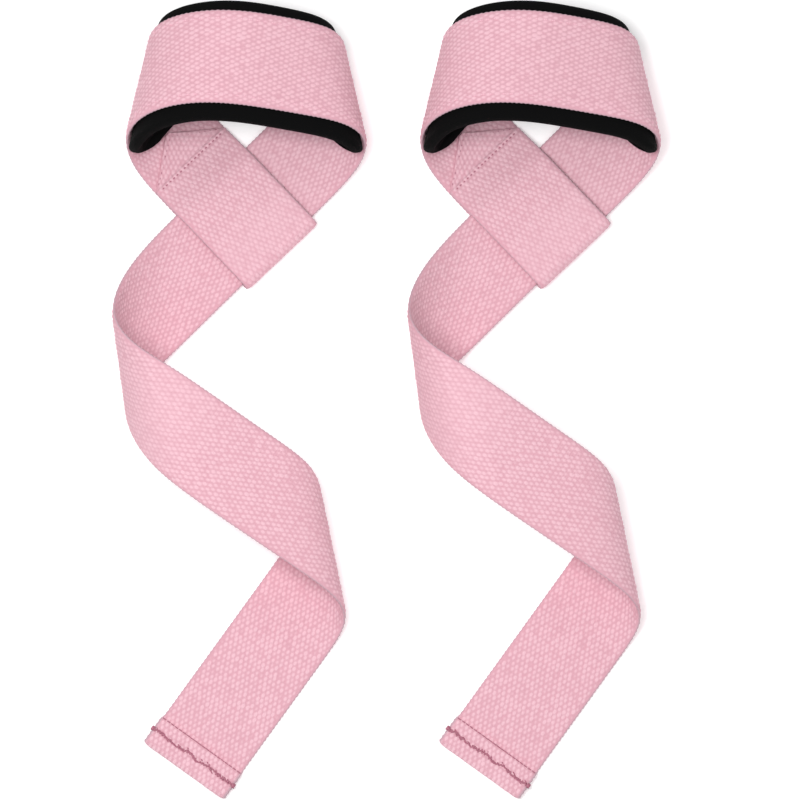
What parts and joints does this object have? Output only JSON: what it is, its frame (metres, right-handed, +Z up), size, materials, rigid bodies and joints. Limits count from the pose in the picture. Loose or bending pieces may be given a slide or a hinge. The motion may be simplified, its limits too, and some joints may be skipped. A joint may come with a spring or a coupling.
{
  "type": "padded wrist strap pair",
  "caption": "Pair of padded cotton wrist straps: woven tape with a sewn eye, a foam-padded wrist loop and a long curled tail with a sewn hem.",
  "frame": {"origin": "middle of the footprint of the pair, on the table", "axes": "+Z up from the table, +Y from the tail ends towards the wrist loops, +X from the left strap to the right strap"},
  "size_m": [0.2152, 0.3126, 0.0461],
  "materials": {
    "webbing": "coarse cotton plain weave, matt",
    "pad_foam": "closed-cell foam, matt",
    "pad_fabric": "fine knitted face, matt",
    "thread": "spun sewing thread"
  },
  "bodies": {
    "left_loop": {"left_wrist_webbing": "webbing", "left_eye_return": "webbing", "left_eye_closing_seam": "thread", "left_eye_point_seam": "thread", "left_pad_backing": "pad_fabric", "left_pad_foam": "pad_foam", "left_pad_lining": "pad_fabric", "left_pad_upper_seam": "thread", "left_pad_lower_seam": "thread", "left_pad_eye_end_seam": "thread", "left_pad_tail_end_seam": "thread"},
    "left_tail": {"left_tail_webbing_upper": "webbing"},
    "left_middle": {"left_tail_webbing_middle": "webbing"},
    "left_end": {"left_tail_webbing_lower": "webbing"},
    "left_tip": {"left_tail_webbing_tip": "webbing", "left_hem_flap": "webbing", "left_hem_seam": "thread", "left_hem_bar_tack": "thread"},
    "right_loop": {"right_wrist_webbing": "webbing", "right_eye_return": "webbing", "right_eye_closing_seam": "thread", "right_eye_point_seam": "thread", "right_pad_backing": "pad_fabric", "right_pad_foam": "pad_foam", "right_pad_lining": "pad_fabric", "right_pad_upper_seam": "thread", "right_pad_lower_seam": "thread", "right_pad_eye_end_seam": "thread", "right_pad_tail_end_seam": "thread"},
    "right_tail": {"right_tail_webbing_upper": "webbing"},
    "right_middle": {"right_tail_webbing_middle": "webbing"},
    "right_end": {"right_tail_webbing_lower": "webbing"},
    "right_tip": {"right_tail_webbing_tip": "webbing", "right_hem_flap": "webbing", "right_hem_seam": "thread", "right_hem_bar_tack": "thread"}
  },
  "joints": [
    {"name": "left_tighten", "type": "slide", "parent": "left_loop", "child": "left_tail", "axis": [-0.7109, -0.7033, 0], "range_m": [0, 0.02]},
    {"name": "left_uncurl", "type": "hinge", "parent": "left_tail", "child": "left_middle", "pos_m": [-0.10478, 0.01582, 0.02024], "axis": [0.12, -0.9535, -0.2764], "range_deg": [0, 70]},
    {"name": "left_end_uncurl", "type": "hinge", "parent": "left_middle", "child": "left_end", "pos_m": [-0.02141, -0.05795, 0.01497], "axis": [0.2034, -0.9721, -0.1166], "range_deg": [0, 21]},
    {"name": "left_tip_lift", "type": "hinge", "parent": "left_end", "child": "left_tip", "pos_m": [-0.05201, -0.10633, 0.00187], "axis": [-0.7167, 0.6974, 0.0007], "range_deg": [0, 75]},
    {"name": "right_aside", "type": "slide", "parent": "left_loop", "child": "right_loop", "axis": [1, 0, 0], "range_m": [0, 0.06]},
    {"name": "right_tighten", "type": "slide", "parent": "right_loop", "child": "right_tail", "axis": [-0.7109, -0.7033, 0], "range_m": [0, 0.02]},
    {"name": "right_uncurl", "type": "hinge", "parent": "right_tail", "child": "right_middle", "pos_m": [0.01052, 0.01582, 0.02024], "axis": [0.12, -0.9535, -0.2764], "range_deg": [0, 70]},
    {"name": "right_end_uncurl", "type": "hinge", "parent": "right_middle", "child": "right_end", "pos_m": [0.09389, -0.05795, 0.01497], "axis": [0.2034, -0.9721, -0.1166], "range_deg": [0, 21]},
    {"name": "right_tip_lift", "type": "hinge", "parent": "right_end", "child": "right_tip", "pos_m": [0.06329, -0.10633, 0.00187], "axis": [-0.7167, 0.6974, 0.0007], "range_deg": [0, 75]}
  ],
  "couplings": [
    {"joint": "left_end_uncurl", "follows": "left_uncurl", "ratio": 0.3},
    {"joint": "right_end_uncurl", "follows": "right_uncurl", "ratio": 0.3}
  ]
}
